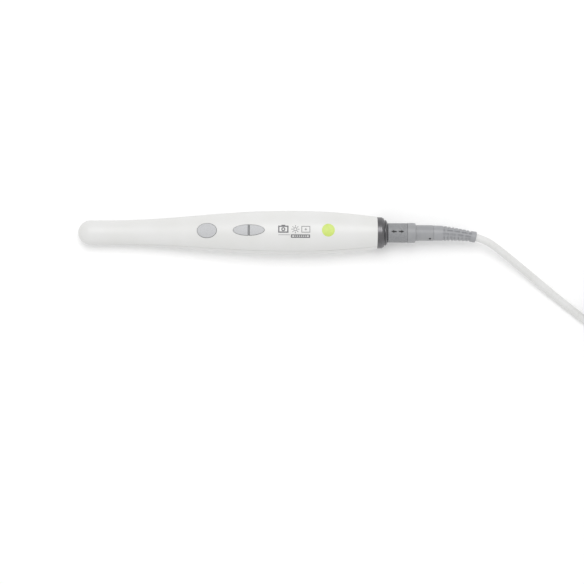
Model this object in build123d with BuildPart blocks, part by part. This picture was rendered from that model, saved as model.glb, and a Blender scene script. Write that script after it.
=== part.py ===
"""Intraoral camera: a wand-shaped handpiece with a detachable lead that ends in a USB plug."""

import math
import os

from build123d import *

os.makedirs("parts", exist_ok=True)

# ---------------------------------------------------------------- driving sizes, in mm
# Handpiece shells, from the tip to their rear face
body_length = 194.0
tip_length = 8.0              # the rounded tip
swell_start = 20.0            # the slim head ends here
swell_end = 134.0             # the grip has its full size from here
tail_start = 146.0            # and tapers to the rear from here
tail_power = 1.75
head_width = 16.0
head_height = 11.5
handle_width = 28.2
handle_height = 22.6
rear_diameter = 20.8
head_lift = 1.5               # underside of the head above the table
belly_cut = 0.4               # depth of the flat on the belly
rear_lift = 0.4               # underside of the rear end above the table
wall = 1.6
seam_share = 0.41             # parting line above the equator, as a sine
seam_rise_end = 60.0          # it climbs from the equator up to here
seam_gap = 0.3                # the gasket between the shells
seam_depth = 0.35             # the gasket lies this far below the skin

# Keys and indicator on top
capture_place = 84.3          # from the tip to the key's middle
capture_length = 12.4
capture_width = 9.2
select_place = 111.3
select_length = 19.9
select_width = 6.8
divider_width = 0.75
key_gap = 0.25                # round each key
key_proud = 0.35
key_travel = 0.5
flange_reach = 0.8            # flange past the key's outline
flange_gap = 0.1              # under the shell
flange_thickness = 0.6
stem_radius = 1.5
indicator_from_rear = 31.7
indicator_diameter = 8.3
indicator_flange = 0.9
pipe_radius = 1.6

# Head optics on the underside
window_place = 13.0
flat_depth = 1.25             # flat round the window, up from the head's underside
ring_diameter = 9.0
ring_thickness = 1.6
bezel_diameter = 5.2
bezel_proud = 0.25
window_diameter = 4.0
window_thickness = 0.8
led_count = 6
led_size = 1.0
led_height = 0.7
led_board_thickness = 0.6
optics_headroom = 1.2         # optics carrier to the roof of the cavity
carrier_wall = 1.2
carrier_seat = 6.0            # length of barrel held by the carrier
barrel_wall = 0.5
barrel_shade = 0.2            # barrel's bore inside the prism's face
barrel_length = 12.0
lens_thickness = 1.6
lens_count = 3
sensor_size = 4.0
sensor_thickness = 0.7
sensor_board_thickness = 0.8
sensor_board_gap = 0.3
flex_width = 5.0
flex_thickness = 0.3

# Electronics in the grip
board_height = 9.0            # underside of the main board above the table
board_thickness = 1.0
board_start = 58.0
board_end_gap = 9.0           # main board to the rear face
board_side_gap = 1.0
switch_size = 6.0
switch_height = 1.5
plunger_radius = 1.0
plunger_rise = 0.7
carrier_plate_gap = 0.6       # plunger top to the key carrier
carrier_plate_thickness = 0.8
carrier_plate_width = 11.0
leg_radius = 1.2
leg_spacing = 8.6
seal_height = 0.8
seal_width = 0.8
screw_radius = 0.95
screw_length = 5.0
screw_head_radius = 1.7
screw_head_height = 1.1
boss_radius = 2.2
boss_spacing = 8.4
boss_inset = 10.0             # first and last boss from the ends of the board
processor_size = (10.0, 10.0, 1.2)
memory_size = (8.0, 6.0, 1.0)
flex_connector_size = (4.0, 7.0, 1.5)
led_chip_size = (2.4, 1.6, 0.9)

# Collar, socket and plug, all on one axis
running_gap = 0.05
collar_step = 0.2             # collar below the shells' rear edge
collar_length = 6.7
spigot_length = 7.0
spigot_step = 0.2
cable_diameter = 5.0
backshell_diameter = 10.3
backshell_wall = 0.6
backshell_exposed = 11.4
backshell_seat = 4.0          # length of nose held by the backshell
latch_wall = 0.4
nose_wall = 0.4
nose_front = 7.0              # nose ahead of the latch fingers
socket_wall = 1.0
socket_depth = 14.0
insulator_thickness = 2.4
nose_end_gap = 0.5
contact_count = 6
contact_circle = 2.2
contact_radius = 0.3
contact_clearance = 0.08
contact_tail = 1.2
contact_reach = 6.5
sleeve_wall = 1.125
sleeve_length = 12.7
sleeve_gap = 0.2              # collar to sleeve with the plug home
end_ring_step = 0.175
end_ring_length = 5.2
backshell_front_gap = 1.5     # sleeve's front edge to the backshell's
clamp_length = 7.0
clamp_end_gap = 1.0
clamp_bore_wall = 0.9
clamp_screw_radius = 0.8
clamp_screw_length = 1.6
clamp_screw_depth = 0.15
clamp_screw_angle = 55.0      # degrees from the top towards -Y
clamp_screw_inset = 2.1       # from the boot
boot_length = 28.0
boot_bend = 11.0              # degrees that the boot turns
boot_profile = [(0.0, 4.95), (6.0, 4.9), (15.0, 4.15), (23.5, 3.55), (28.0, 3.6)]

# The cord's free ends: points chosen by hand, after the boot's own end
lead_route = [
    (133.3, -4.1, 10.75), (138.3, -6.6, 10.5), (144.2, -10.9, 9.8), (155.0, -19.2, 7.7),
    (168.0, -29.6, 5.0), (181.5, -40.6, 3.0), (202.0, -57.0, 2.6), (222.2, -73.0, 3.3),
]
tail_route = [
    (258.8, -75.6, 17.2), (265.6, -74.1, 17.1), (272.5, -71.7, 15.9), (279.0, -67.9, 13.3),
    (284.1, -62.2, 10.2), (287.3, -55.2, 7.3), (288.9, -47.5, 5.0), (289.2, -39.5, 4.0),
    (289.2, -32.0, 4.0),
]
coil_centre = (243.7, -46.0)
coil_middle_radius = 27.0
coil_width = 20.0             # across the turns
coil_height = 18.5
coil_corner = 2.4
tie_thickness = 0.8
tie_width = 9.0
tie_angles = (60.0, 176.0)

# USB plug on the far end, flat on the table and pointing along +Y
usb_relief_length = 12.0
usb_relief_radii = (3.1, 3.9)
usb_body_length = 28.0
usb_body_width = 15.6
usb_body_height = 8.0
usb_body_corner = 2.0
usb_shell_length = 12.0
usb_shell_width = 12.0
usb_shell_height = 4.5
usb_sheet = 0.3
usb_tongue_thickness = 1.9
usb_tongue_setback = 0.6
usb_contact_count = 4
usb_contact_pitch = 2.3
usb_contact_size = (1.1, 8.5, 0.15)

# ---------------------------------------------------------------- worked-out places
collar_end = body_length + collar_length
sleeve_start = collar_end + sleeve_gap
sleeve_end = sleeve_start + sleeve_length
ring_end = sleeve_end + end_ring_length
boot_start = ring_end + backshell_exposed
boot_radius = boot_length / math.radians(boot_bend)
boot_reach = boot_radius * math.sin(math.radians(boot_bend))
boot_tilt = boot_profile[-1][1] * math.sin(math.radians(boot_bend))
overall_length = boot_start + boot_reach + boot_tilt
axis_height = rear_lift + rear_diameter / 2
board_end = body_length - board_end_gap
board_top = board_height + board_thickness
plunger_top = board_top + switch_height + plunger_rise
carrier_floor = plunger_top + carrier_plate_gap
carrier_roof = carrier_floor + carrier_plate_thickness
indicator_place = body_length - indicator_from_rear
key_depth = wall + flange_gap + flange_thickness
select_offset = select_length / 4 + divider_width / 2
tall = 60.0                   # higher than the whole object
centred = (Align.CENTER, Align.CENTER, Align.MIN)
below = (Align.CENTER, Align.CENTER, Align.MAX)


def at(place):
    """X of a place that is given as its distance from the tip."""
    return place - overall_length / 2


def across(place, height=axis_height):
    """Plane square to the length, its own X along the object's Y."""
    return Plane(origin=(at(place), 0, height), x_dir=(0, 1, 0), z_dir=(1, 0, 0))


def section(place):
    """Width, height and centre height of the handpiece's elliptical section."""
    if place <= tail_start:
        run = min(max((place - swell_start) / (swell_end - swell_start), 0.0), 1.0)
        share = run * run * (3 - 2 * run)
        width = head_width + (handle_width - head_width) * share
        height = head_height + (handle_height - head_height) * share
        bottom = head_lift - (head_lift + belly_cut) * share
    else:
        share = ((place - tail_start) / (body_length - tail_start)) ** tail_power
        width = handle_width + (rear_diameter - handle_width) * share
        height = handle_height + (rear_diameter - handle_height) * share
        bottom = (rear_lift + belly_cut) * share - belly_cut
    return width, height, bottom + height / 2


def half_room(place, height, inset):
    """Half the width inside the form, at a height above the table."""
    width, full_height, centre = section(place)
    rise = (height - centre) / (full_height / 2 - inset)
    return (width / 2 - inset) * math.sqrt(1 - rise * rise)


def even_places(first, last, spans):
    return [first + (last - first) * i / spans for i in range(spans + 1)]


form_places = (
    [tip_length, (tip_length + swell_start) / 2]
    + even_places(swell_start, swell_end, 6)
    + even_places(tail_start, body_length, 4)
)


def wand_form(inset):
    """The handpiece's form, moved inwards by inset, with its flat belly."""
    width, height, centre = section(tip_length)
    with BuildPart() as tip:
        Sphere(1)
        split(bisect_by=Plane.YZ, keep=Keep.BOTTOM)
        scale(by=(tip_length - inset, width / 2 - inset, height / 2 - inset))
    tip_solid = tip.part.moved(Location((at(tip_length), 0, centre)))
    with BuildPart() as form:
        for place in form_places:
            width, height, centre = section(place)
            with BuildSketch(across(place, centre)):
                Ellipse(width / 2 - inset, height / 2 - inset)
        loft()
        add(tip_solid)
        with Locations((0, 0, max(inset, 0.0))):
            Box(2 * overall_length, 3 * handle_width, tall, align=below, mode=Mode.SUBTRACT)
    return form.part


def parting_height(place):
    width, height, centre = section(max(place, tip_length))
    climb = min(max((place - tip_length) / (seam_rise_end - tip_length), 0.0), 1.0)
    return centre + height / 2 * seam_share * climb * climb * (3 - 2 * climb)


def above_parting(lift):
    """Everything above the parting surface, raised by lift."""
    places = even_places(-4.0, body_length + 4.0, 12)
    with BuildPart() as block:
        with BuildSketch(Plane.XZ):
            with BuildLine():
                line = Spline(*[(at(p), parting_height(p) + lift) for p in places])
                Polyline(line @ 1, ((line @ 1).X, tall), ((line @ 0).X, tall), line @ 0)
            make_face()
        extrude(amount=handle_width, both=True)
    return block.part


def export(part, name):
    part.label = name
    export_step(part, f"parts/{name}.step")


outer_form = wand_form(0.0)
groove_form = wand_form(seam_depth)
mid_form = wand_form(wall / 2)
cavity_form = wand_form(wall)
above_gasket = above_parting(seam_gap / 2)
above_seam = above_parting(-seam_gap / 2)

# ---------------------------------------------------------------- openings shared by shells and keys
with BuildPart() as capture_opening:
    with BuildSketch(Plane.XY.offset(carrier_roof)):
        with Locations((at(capture_place), 0)):
            Ellipse(capture_length / 2 + key_gap, capture_width / 2 + key_gap)
    extrude(amount=tall)

with BuildPart() as select_opening:
    with BuildSketch(Plane.XY.offset(carrier_roof)):
        with Locations((at(select_place), 0)):
            Ellipse(select_length / 2 + key_gap, select_width / 2 + key_gap)
    extrude(amount=tall)

with BuildPart() as indicator_opening:
    with BuildSketch(Plane.XY.offset(carrier_roof)):
        with Locations((at(indicator_place), 0)):
            Circle(indicator_diameter / 2)
    extrude(amount=tall)

# A ring of the shells' own material that grips the collar's spigot
spigot_radius = rear_diameter / 2 - wall - spigot_step
with BuildPart() as rear_land:
    with BuildSketch(across(body_length - spigot_length)):
        Circle(rear_diameter)
        Circle(spigot_radius, mode=Mode.SUBTRACT)
    extrude(amount=spigot_length)
    add(mid_form, mode=Mode.INTERSECT)

# ---------------------------------------------------------------- shells
with BuildPart() as upper_shell:
    add(outer_form)
    add(cavity_form, mode=Mode.SUBTRACT)
    add(rear_land.part)
    add(above_gasket, mode=Mode.INTERSECT)
    for opening in (capture_opening, select_opening, indicator_opening):
        add(opening.part, mode=Mode.SUBTRACT)
export(upper_shell.part, "upper_shell")

boss_places = (board_start + boss_inset, board_end - boss_inset)
boss_points = [(at(p), side * boss_spacing / 2) for p in boss_places for side in (-1, 1)]
with BuildPart() as bosses:
    with BuildSketch(Plane.XY):
        with Locations(*boss_points):
            Circle(boss_radius)
    extrude(amount=board_height)
    add(mid_form, mode=Mode.INTERSECT)
    with Locations(*[(x, y, board_height) for x, y in boss_points]):
        Hole(screw_radius, depth=screw_length - board_thickness)

flat_height = head_lift + flat_depth
ring_top = flat_height + ring_thickness
with BuildPart() as window_pad:
    with BuildSketch(Plane.XY.offset(flat_height)):
        with Locations((at(window_place), 0)):
            Circle(ring_diameter / 2 + wall)
    extrude(amount=wall)
    add(mid_form, mode=Mode.INTERSECT)

with BuildPart() as lower_shell:
    add(outer_form)
    add(cavity_form, mode=Mode.SUBTRACT)
    add(rear_land.part)
    add(above_seam, mode=Mode.SUBTRACT)
    add(bosses.part)
    add(window_pad.part)
    with BuildSketch(Plane.XY):
        with Locations((at(window_place), 0)):
            Circle(ring_diameter / 2 + wall)
    extrude(amount=flat_height, mode=Mode.SUBTRACT)
    with BuildSketch(Plane.XY):
        with Locations((at(window_place), 0)):
            Circle(ring_diameter / 2)
    extrude(amount=ring_top + wall, mode=Mode.SUBTRACT)
export(lower_shell.part, "lower_shell")

# Silicone cord squeezed between the shells, a little below the skin
with BuildPart() as shell_gasket:
    add(above_seam)
    add(above_gasket, mode=Mode.SUBTRACT)
    add(groove_form, mode=Mode.INTERSECT)
    add(cavity_form, mode=Mode.SUBTRACT)
export(shell_gasket.part, "shell_gasket")

# ---------------------------------------------------------------- keys
proud_form = wand_form(-key_proud)
flange_form = wand_form(wall + flange_gap)
under_form = wand_form(key_depth)
divider_form = wand_form(key_proud / 2)


def key_plan(length, width, half, grow=0.0):
    """Plan of a key at the origin: a whole ellipse, or the half on one side of the divider."""
    with BuildSketch() as plan:
        Ellipse(length / 2 + grow, width / 2 + grow)
        if half:
            edge = divider_width / 2 + key_gap
            with Locations((half * (edge + length), 0)):
                Rectangle(2 * length, 4 * width, mode=Mode.INTERSECT)
    return plan.sketch


keys = {
    "capture": (capture_place, capture_place, key_plan(capture_length, capture_width, 0),
                key_plan(capture_length, capture_width, 0, flange_reach)),
    "previous": (select_place, select_place - select_offset,
                 key_plan(select_length, select_width, -1),
                 key_plan(select_length, select_width, -1, flange_reach)),
    "next": (select_place, select_place + select_offset,
             key_plan(select_length, select_width, 1),
             key_plan(select_length, select_width, 1, flange_reach)),
}
switch_points = [(at(stem), 0) for centre, stem, cap, flange in keys.values()]

for key_name, (centre, stem, cap_plan, flange_plan) in keys.items():
    with BuildPart() as key_cap:
        with BuildSketch(Plane.XY.offset(carrier_roof)):
            with Locations((at(centre), 0)):
                add(cap_plan)
        extrude(amount=tall)
        add(proud_form, mode=Mode.INTERSECT)
        add(under_form, mode=Mode.SUBTRACT)
    with BuildPart() as key_flange:
        with BuildSketch(Plane.XY.offset(carrier_roof)):
            with Locations((at(centre), 0)):
                add(flange_plan)
        extrude(amount=tall)
        add(flange_form, mode=Mode.INTERSECT)
        add(under_form, mode=Mode.SUBTRACT)
    with BuildPart() as key_stem:
        with BuildSketch(Plane.XY.offset(plunger_top)):
            with Locations((at(stem), 0)):
                Circle(stem_radius)
        extrude(amount=tall)
        add(flange_form, mode=Mode.INTERSECT)
    with BuildPart() as key:
        add(key_cap.part)
        add(key_flange.part)
        add(key_stem.part)
    export(key.part, f"{key_name}_key")

    with BuildPart() as plunger:
        with BuildSketch(Plane.XY.offset(plunger_top - plunger_rise - key_travel)):
            with Locations((at(stem), 0)):
                Circle(plunger_radius)
        extrude(amount=plunger_rise + key_travel)
    export(plunger.part, f"{key_name}_plunger")

# Fixed dark bar between the two select keys
with BuildPart() as key_divider:
    with BuildSketch(Plane.XY.offset(carrier_roof)):
        with Locations((at(select_place), 0)):
            Ellipse(select_length / 2 + key_gap, select_width / 2 + key_gap)
            Rectangle(divider_width, 2 * select_width, mode=Mode.INTERSECT)
    extrude(amount=tall)
    add(divider_form, mode=Mode.INTERSECT)
    add(cavity_form, mode=Mode.SUBTRACT)
export(key_divider.part, "key_divider")

# Plate on legs that guides the three stems, and the seals round them
plate_start = capture_place - switch_size - 2 * leg_radius
plate_end = select_place + select_offset + switch_size + 2 * leg_radius
plate_middle = (plate_start + plate_end) / 2
leg_places = (plate_start + leg_radius, (capture_place + select_place - select_offset) / 2,
              plate_end - leg_radius)
with BuildPart() as key_carrier:
    with BuildSketch(Plane.XY.offset(carrier_floor)):
        with Locations((at(plate_middle), 0)):
            RectangleRounded(plate_end - plate_start, carrier_plate_width, leg_radius)
        with Locations(*switch_points):
            Circle(stem_radius + running_gap, mode=Mode.SUBTRACT)
    extrude(amount=carrier_plate_thickness)
    with BuildSketch(Plane.XY.offset(board_top)):
        with Locations(*[(at(p), side * leg_spacing / 2) for p in leg_places for side in (-1, 1)]):
            Circle(leg_radius)
    extrude(amount=carrier_floor - board_top)
export(key_carrier.part, "key_carrier")

with BuildPart() as key_seals:
    with BuildSketch(Plane.XY.offset(carrier_roof)):
        with Locations(*switch_points):
            Circle(stem_radius + running_gap + seal_width)
            Circle(stem_radius + running_gap, mode=Mode.SUBTRACT)
    extrude(amount=seal_height)
export(key_seals.part, "key_seals")

with BuildPart() as switch_bodies:
    with BuildSketch(Plane.XY.offset(board_top)):
        with Locations(*switch_points):
            Rectangle(switch_size, switch_size)
    extrude(amount=switch_height)
    with Locations(*[(x, y, board_top + switch_height) for x, y in switch_points]):
        Hole(plunger_radius + running_gap, depth=2 * key_travel + running_gap)
export(switch_bodies.part, "switch_bodies")

# ---------------------------------------------------------------- indicator
pipe_form = wand_form(wall + indicator_flange)
with BuildPart() as indicator_rim:
    with BuildSketch(Plane.XY.offset(carrier_roof)):
        with Locations((at(indicator_place), 0)):
            Circle(indicator_diameter / 2 + indicator_flange)
    extrude(amount=tall)
    add(cavity_form, mode=Mode.INTERSECT)
    add(pipe_form, mode=Mode.SUBTRACT)

with BuildPart() as indicator_lens:
    add(indicator_opening.part)
    add(outer_form, mode=Mode.INTERSECT)
    add(pipe_form, mode=Mode.SUBTRACT)
    add(indicator_rim.part)
export(indicator_lens.part, "indicator_lens")

with BuildPart() as light_pipe:
    with BuildSketch(Plane.XY.offset(board_top + led_chip_size[2])):
        with Locations((at(indicator_place), 0)):
            Circle(pipe_radius)
    extrude(amount=tall)
    add(pipe_form, mode=Mode.INTERSECT)
export(light_pipe.part, "light_pipe")

with BuildPart() as indicator_led:
    with Locations((at(indicator_place), 0, board_top)):
        Box(*led_chip_size, align=centred)
export(indicator_led.part, "indicator_led")

# ---------------------------------------------------------------- head optics
window_x = at(window_place)
led_board_floor = ring_top + led_height
led_board_roof = led_board_floor + led_board_thickness
optics_roof = head_lift + head_height - wall - optics_headroom
prism_size = optics_roof - led_board_roof - carrier_wall / 2
barrel_axis = led_board_roof + prism_size / 2
barrel_bore = prism_size / 2 - barrel_shade
barrel_radius = barrel_bore + barrel_wall
barrel_start = window_place + ring_diameter / 2 + running_gap
barrel_end = barrel_start + barrel_length
led_circle = (ring_diameter + bezel_diameter) / 4

with BuildPart() as light_ring:
    with BuildSketch(Plane.XY.offset(flat_height)):
        with Locations((window_x, 0)):
            Circle(ring_diameter / 2)
            Circle(bezel_diameter / 2, mode=Mode.SUBTRACT)
    extrude(amount=ring_thickness)
export(light_ring.part, "light_ring")

with BuildPart() as window_bezel:
    with BuildSketch(Plane.XY.offset(flat_height - bezel_proud)):
        with Locations((window_x, 0)):
            Circle(bezel_diameter / 2)
            Circle(window_diameter / 2, mode=Mode.SUBTRACT)
    extrude(amount=led_board_roof - flat_height + bezel_proud)
export(window_bezel.part, "window_bezel")

with BuildPart() as lens_window:
    with BuildSketch(Plane.XY.offset(flat_height)):
        with Locations((window_x, 0)):
            Circle(window_diameter / 2)
    extrude(amount=window_thickness)
export(lens_window.part, "lens_window")

with BuildPart() as head_leds:
    with BuildSketch(Plane.XY.offset(ring_top)):
        with Locations((window_x, 0)):
            with PolarLocations(led_circle, led_count):
                Rectangle(led_size, led_size)
    extrude(amount=led_height)
export(head_leds.part, "head_leds")

with BuildPart() as led_board:
    with BuildSketch(Plane.XY.offset(led_board_floor)):
        with Locations((window_x, 0)):
            Circle(ring_diameter / 2)
            Circle(bezel_diameter / 2, mode=Mode.SUBTRACT)
    extrude(amount=led_board_thickness)
export(led_board.part, "led_board")

with BuildPart() as prism:
    with BuildSketch(Plane.XZ):
        with BuildLine():
            Polyline((window_x - prism_size / 2, led_board_roof),
                     (window_x + prism_size / 2, led_board_roof),
                     (window_x + prism_size / 2, led_board_roof + prism_size), close=True)
        make_face()
    extrude(amount=prism_size / 2, both=True)
export(prism.part, "prism")

carrier_start = window_place - prism_size / 2 - carrier_wall
carrier_end = barrel_start + carrier_seat
with BuildPart() as optics_carrier:
    with BuildSketch(Plane.XY.offset(led_board_roof)):
        with Locations((at((carrier_start + carrier_end) / 2), 0)):
            Rectangle(carrier_end - carrier_start, prism_size + 2 * carrier_wall)
    extrude(amount=optics_roof - led_board_roof)
    with Locations((window_x, 0, led_board_roof)):
        Box(prism_size, prism_size, prism_size, align=centred, mode=Mode.SUBTRACT)
    with BuildSketch(across(window_place, barrel_axis)):
        Circle(barrel_bore)
    extrude(amount=barrel_start - window_place, mode=Mode.SUBTRACT)
    with BuildSketch(across(barrel_start, barrel_axis)):
        Circle(barrel_radius)
    extrude(amount=carrier_seat, mode=Mode.SUBTRACT)
export(optics_carrier.part, "optics_carrier")

with BuildPart() as lens_barrel:
    with BuildSketch(across(barrel_start, barrel_axis)):
        Circle(barrel_radius)
        Circle(barrel_bore, mode=Mode.SUBTRACT)
    extrude(amount=barrel_length)
export(lens_barrel.part, "lens_barrel")

lens_pitch = (barrel_length - lens_thickness) / lens_count
with BuildPart() as lens_elements:
    for i in range(lens_count):
        with BuildSketch(across(barrel_start + lens_thickness / 2 + i * lens_pitch, barrel_axis)):
            Circle(barrel_bore)
        extrude(amount=lens_thickness)
export(lens_elements.part, "lens_elements")

with BuildPart() as image_sensor:
    with BuildSketch(across(barrel_end, barrel_axis)):
        Rectangle(sensor_size, sensor_size)
    extrude(amount=sensor_thickness)
export(image_sensor.part, "image_sensor")

sensor_board_start = barrel_end + sensor_thickness
head_centre = head_lift + head_height / 2
sensor_board_radius = (head_height / 2 - wall) - abs(barrel_axis - head_centre) - sensor_board_gap
with BuildPart() as sensor_board:
    with BuildSketch(across(sensor_board_start, barrel_axis)):
        Circle(sensor_board_radius)
    extrude(amount=sensor_board_thickness)
export(sensor_board.part, "sensor_board")

# Flat ribbon from the sensor board back to its connector on the main board
flex_start = sensor_board_start + sensor_board_thickness
connector_start = board_start + screw_head_radius
flex_end_height = board_top + flex_connector_size[2] / 2
flex_line = [(flex_start, barrel_axis), (flex_start + 7.0, barrel_axis),
             (connector_start - 8.0, flex_end_height), (connector_start, flex_end_height)]
with BuildPart() as head_flex:
    with BuildSketch(Plane.XZ):
        with BuildLine():
            Polyline(*[(at(p), z) for p, z in flex_line],
                     *[(at(p), z + flex_thickness) for p, z in reversed(flex_line)], close=True)
        make_face()
    extrude(amount=flex_width / 2, both=True)
export(head_flex.part, "head_flex")

# ---------------------------------------------------------------- electronics
board_width = 2 * (half_room(board_start, board_top, wall) - board_side_gap)
with BuildPart() as main_board:
    with BuildSketch(Plane.XY.offset(board_height)):
        with Locations((at((board_start + board_end) / 2), 0)):
            RectangleRounded(board_end - board_start, board_width, leg_radius)
        with Locations(*boss_points):
            Circle(screw_radius, mode=Mode.SUBTRACT)
    extrude(amount=board_thickness)
export(main_board.part, "main_board")

with BuildPart() as board_screws:
    with BuildSketch(Plane.XY.offset(board_top)):
        with Locations(*boss_points):
            Circle(screw_head_radius)
    extrude(amount=screw_head_height)
    with BuildSketch(Plane.XY.offset(board_top - screw_length)):
        with Locations(*boss_points):
            Circle(screw_radius)
    extrude(amount=screw_length)
export(board_screws.part, "board_screws")

with BuildPart() as flex_connector:
    with Locations((at(connector_start) + flex_connector_size[0] / 2, 0, board_top)):
        Box(*flex_connector_size, align=centred)
export(flex_connector.part, "flex_connector")

with BuildPart() as image_processor:
    with Locations((at(capture_place), 0, board_height - processor_size[2])):
        Box(*processor_size, align=centred)
export(image_processor.part, "image_processor")

with BuildPart() as memory_chip:
    with Locations((at(select_place), 0, board_height - memory_size[2])):
        Box(*memory_size, align=centred)
export(memory_chip.part, "memory_chip")

# ---------------------------------------------------------------- collar and socket
backshell_radius = backshell_diameter / 2
nose_radius = backshell_radius - backshell_wall
socket_bore = nose_radius + running_gap
socket_radius = socket_bore + socket_wall
socket_floor = collar_end - socket_depth
nose_start = socket_floor + insulator_thickness + nose_end_gap
collar_radius = rear_diameter / 2 - collar_step
sleeve_radius = backshell_radius + running_gap + sleeve_wall

collar_profile = [
    (0.0, collar_radius - 0.15), (0.15, collar_radius), (2.9, collar_radius - 0.1),
    (4.2, collar_radius - 0.75), (4.7, collar_radius - 1.6), (4.8, collar_radius - 2.1),
    (5.1, collar_radius - 2.1), (5.3, collar_radius - 1.8), (6.1, collar_radius - 2.3),
    (collar_length, sleeve_radius + 0.25), (collar_length, socket_radius),
    (-spigot_length, socket_radius), (-spigot_length, spigot_radius), (0.0, spigot_radius),
]
with BuildPart() as rear_collar:
    with BuildSketch(Plane.XZ):
        with BuildLine():
            Polyline(*[(at(body_length + d), axis_height + r) for d, r in collar_profile],
                     close=True)
        make_face()
    revolve(axis=Axis((0, 0, axis_height), (1, 0, 0)))
export(rear_collar.part, "rear_collar")

with BuildPart() as socket_shell:
    with BuildSketch(across(socket_floor)):
        Circle(socket_radius)
        Circle(socket_bore, mode=Mode.SUBTRACT)
    extrude(amount=socket_depth - running_gap)
export(socket_shell.part, "socket_shell")

with BuildPart() as socket_insulator:
    with BuildSketch(across(socket_floor)):
        Circle(socket_bore)
        with PolarLocations(contact_circle, contact_count):
            Circle(contact_radius, mode=Mode.SUBTRACT)
    extrude(amount=insulator_thickness)
export(socket_insulator.part, "socket_insulator")

contact_end = nose_start + contact_reach
with BuildPart() as socket_contacts:
    with BuildSketch(across(socket_floor - contact_tail)):
        with PolarLocations(contact_circle, contact_count):
            Circle(contact_radius)
    extrude(amount=contact_end - socket_floor + contact_tail)
export(socket_contacts.part, "socket_contacts")

# ---------------------------------------------------------------- plug
backshell_start = sleeve_start + backshell_front_gap
nose_end = backshell_start + backshell_seat
nose_core = nose_radius - latch_wall
nose_bore = nose_core - nose_wall
latch_start = nose_start + nose_front
with BuildPart() as plug_nose:
    with BuildSketch(across(nose_start)):
        Circle(nose_radius)
        Circle(nose_bore, mode=Mode.SUBTRACT)
    extrude(amount=nose_front)
    with BuildSketch(across(latch_start)):
        Circle(nose_core)
        Circle(nose_bore, mode=Mode.SUBTRACT)
    extrude(amount=nose_end - latch_start)
export(plug_nose.part, "plug_nose")

with BuildPart() as latch_sleeve:
    with BuildSketch(across(latch_start)):
        Circle(nose_radius)
        Circle(nose_core, mode=Mode.SUBTRACT)
    extrude(amount=nose_end - latch_start)
    with BuildSketch(across(latch_start)):
        with PolarLocations(nose_radius, 4, start_angle=45):
            Rectangle(2.0, 0.8)
    extrude(amount=(nose_end - latch_start) / 2, mode=Mode.SUBTRACT)
export(latch_sleeve.part, "latch_sleeve")

insulator_start = nose_start + 2 * nose_end_gap
socket_hole = contact_radius + contact_clearance
with BuildPart() as plug_insulator:
    with BuildSketch(across(insulator_start)):
        Circle(nose_bore)
        with PolarLocations(contact_circle, contact_count):
            Circle(socket_hole, mode=Mode.SUBTRACT)
    extrude(amount=nose_end - insulator_start)
export(plug_insulator.part, "plug_insulator")

with BuildPart() as plug_contacts:
    with BuildSketch(across(contact_end + nose_end_gap)):
        with PolarLocations(contact_circle, contact_count):
            Circle(socket_hole)
    extrude(amount=nose_end - contact_end - nose_end_gap)
export(plug_contacts.part, "plug_contacts")

clamp_end = boot_start - clamp_end_gap
clamp_start = clamp_end - clamp_length
clamp_radius = backshell_radius - clamp_bore_wall
screw_direction = (0, -math.sin(math.radians(clamp_screw_angle)),
                   math.cos(math.radians(clamp_screw_angle)))
screw_plane = Plane(origin=(at(boot_start - clamp_screw_inset), 0, axis_height),
                    x_dir=(1, 0, 0), z_dir=screw_direction)
screw_floor = backshell_radius - clamp_screw_depth - clamp_screw_length
with BuildPart() as backshell:
    with BuildSketch(across(backshell_start)):
        Circle(backshell_radius)
    extrude(amount=boot_start - backshell_start)
    with BuildSketch(across(backshell_start)):
        Circle(nose_radius)
    extrude(amount=backshell_seat, mode=Mode.SUBTRACT)
    with BuildSketch(across(nose_end)):
        Circle(clamp_radius)
    extrude(amount=boot_start - nose_end, mode=Mode.SUBTRACT)
    with BuildSketch(screw_plane.offset(screw_floor)):
        Circle(clamp_screw_radius)
    extrude(amount=backshell_radius, mode=Mode.SUBTRACT)
export(backshell.part, "backshell")

with BuildPart() as cable_clamp:
    with BuildSketch(across(clamp_start)):
        Circle(clamp_radius)
        Circle(cable_diameter / 2, mode=Mode.SUBTRACT)
    extrude(amount=clamp_length)
    with BuildSketch(screw_plane.offset(screw_floor)):
        Circle(clamp_screw_radius)
    extrude(amount=backshell_radius, mode=Mode.SUBTRACT)
export(cable_clamp.part, "cable_clamp")

with BuildPart() as clamp_screw:
    with BuildSketch(screw_plane.offset(screw_floor)):
        Circle(clamp_screw_radius)
    extrude(amount=clamp_screw_length)
export(clamp_screw.part, "clamp_screw")

# Knurled sleeve that is pulled back to free the latch, with its own end ring
with BuildPart() as release_sleeve:
    with BuildSketch(across(sleeve_start)):
        Circle(sleeve_radius)
        Circle(backshell_radius + running_gap, mode=Mode.SUBTRACT)
    extrude(amount=sleeve_length)
    chamfer(release_sleeve.edges().filter_by(GeomType.CIRCLE).group_by(Axis.X)[0]
            .sort_by(SortBy.RADIUS)[-1], sleeve_wall / 4)
export(release_sleeve.part, "release_sleeve")

with BuildPart() as sleeve_end_ring:
    with BuildSketch(across(sleeve_end)):
        Circle(sleeve_radius + end_ring_step)
        Circle(backshell_radius + running_gap, mode=Mode.SUBTRACT)
    extrude(amount=end_ring_length)
    chamfer(sleeve_end_ring.edges().filter_by(GeomType.CIRCLE).group_by(Axis.X)[-1]
            .sort_by(SortBy.RADIUS)[-1], sleeve_wall / 3)
export(sleeve_end_ring.part, "sleeve_end_ring")


def boot_plane(distance):
    """Plane across the boot's bent axis, a distance along it."""
    turn = distance / boot_radius
    origin = (at(boot_start) + boot_radius * math.sin(turn),
              -boot_radius * (1 - math.cos(turn)), axis_height)
    return Plane(origin=origin, x_dir=(math.sin(turn), math.cos(turn), 0),
                 z_dir=(math.cos(turn), -math.sin(turn), 0))


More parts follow.
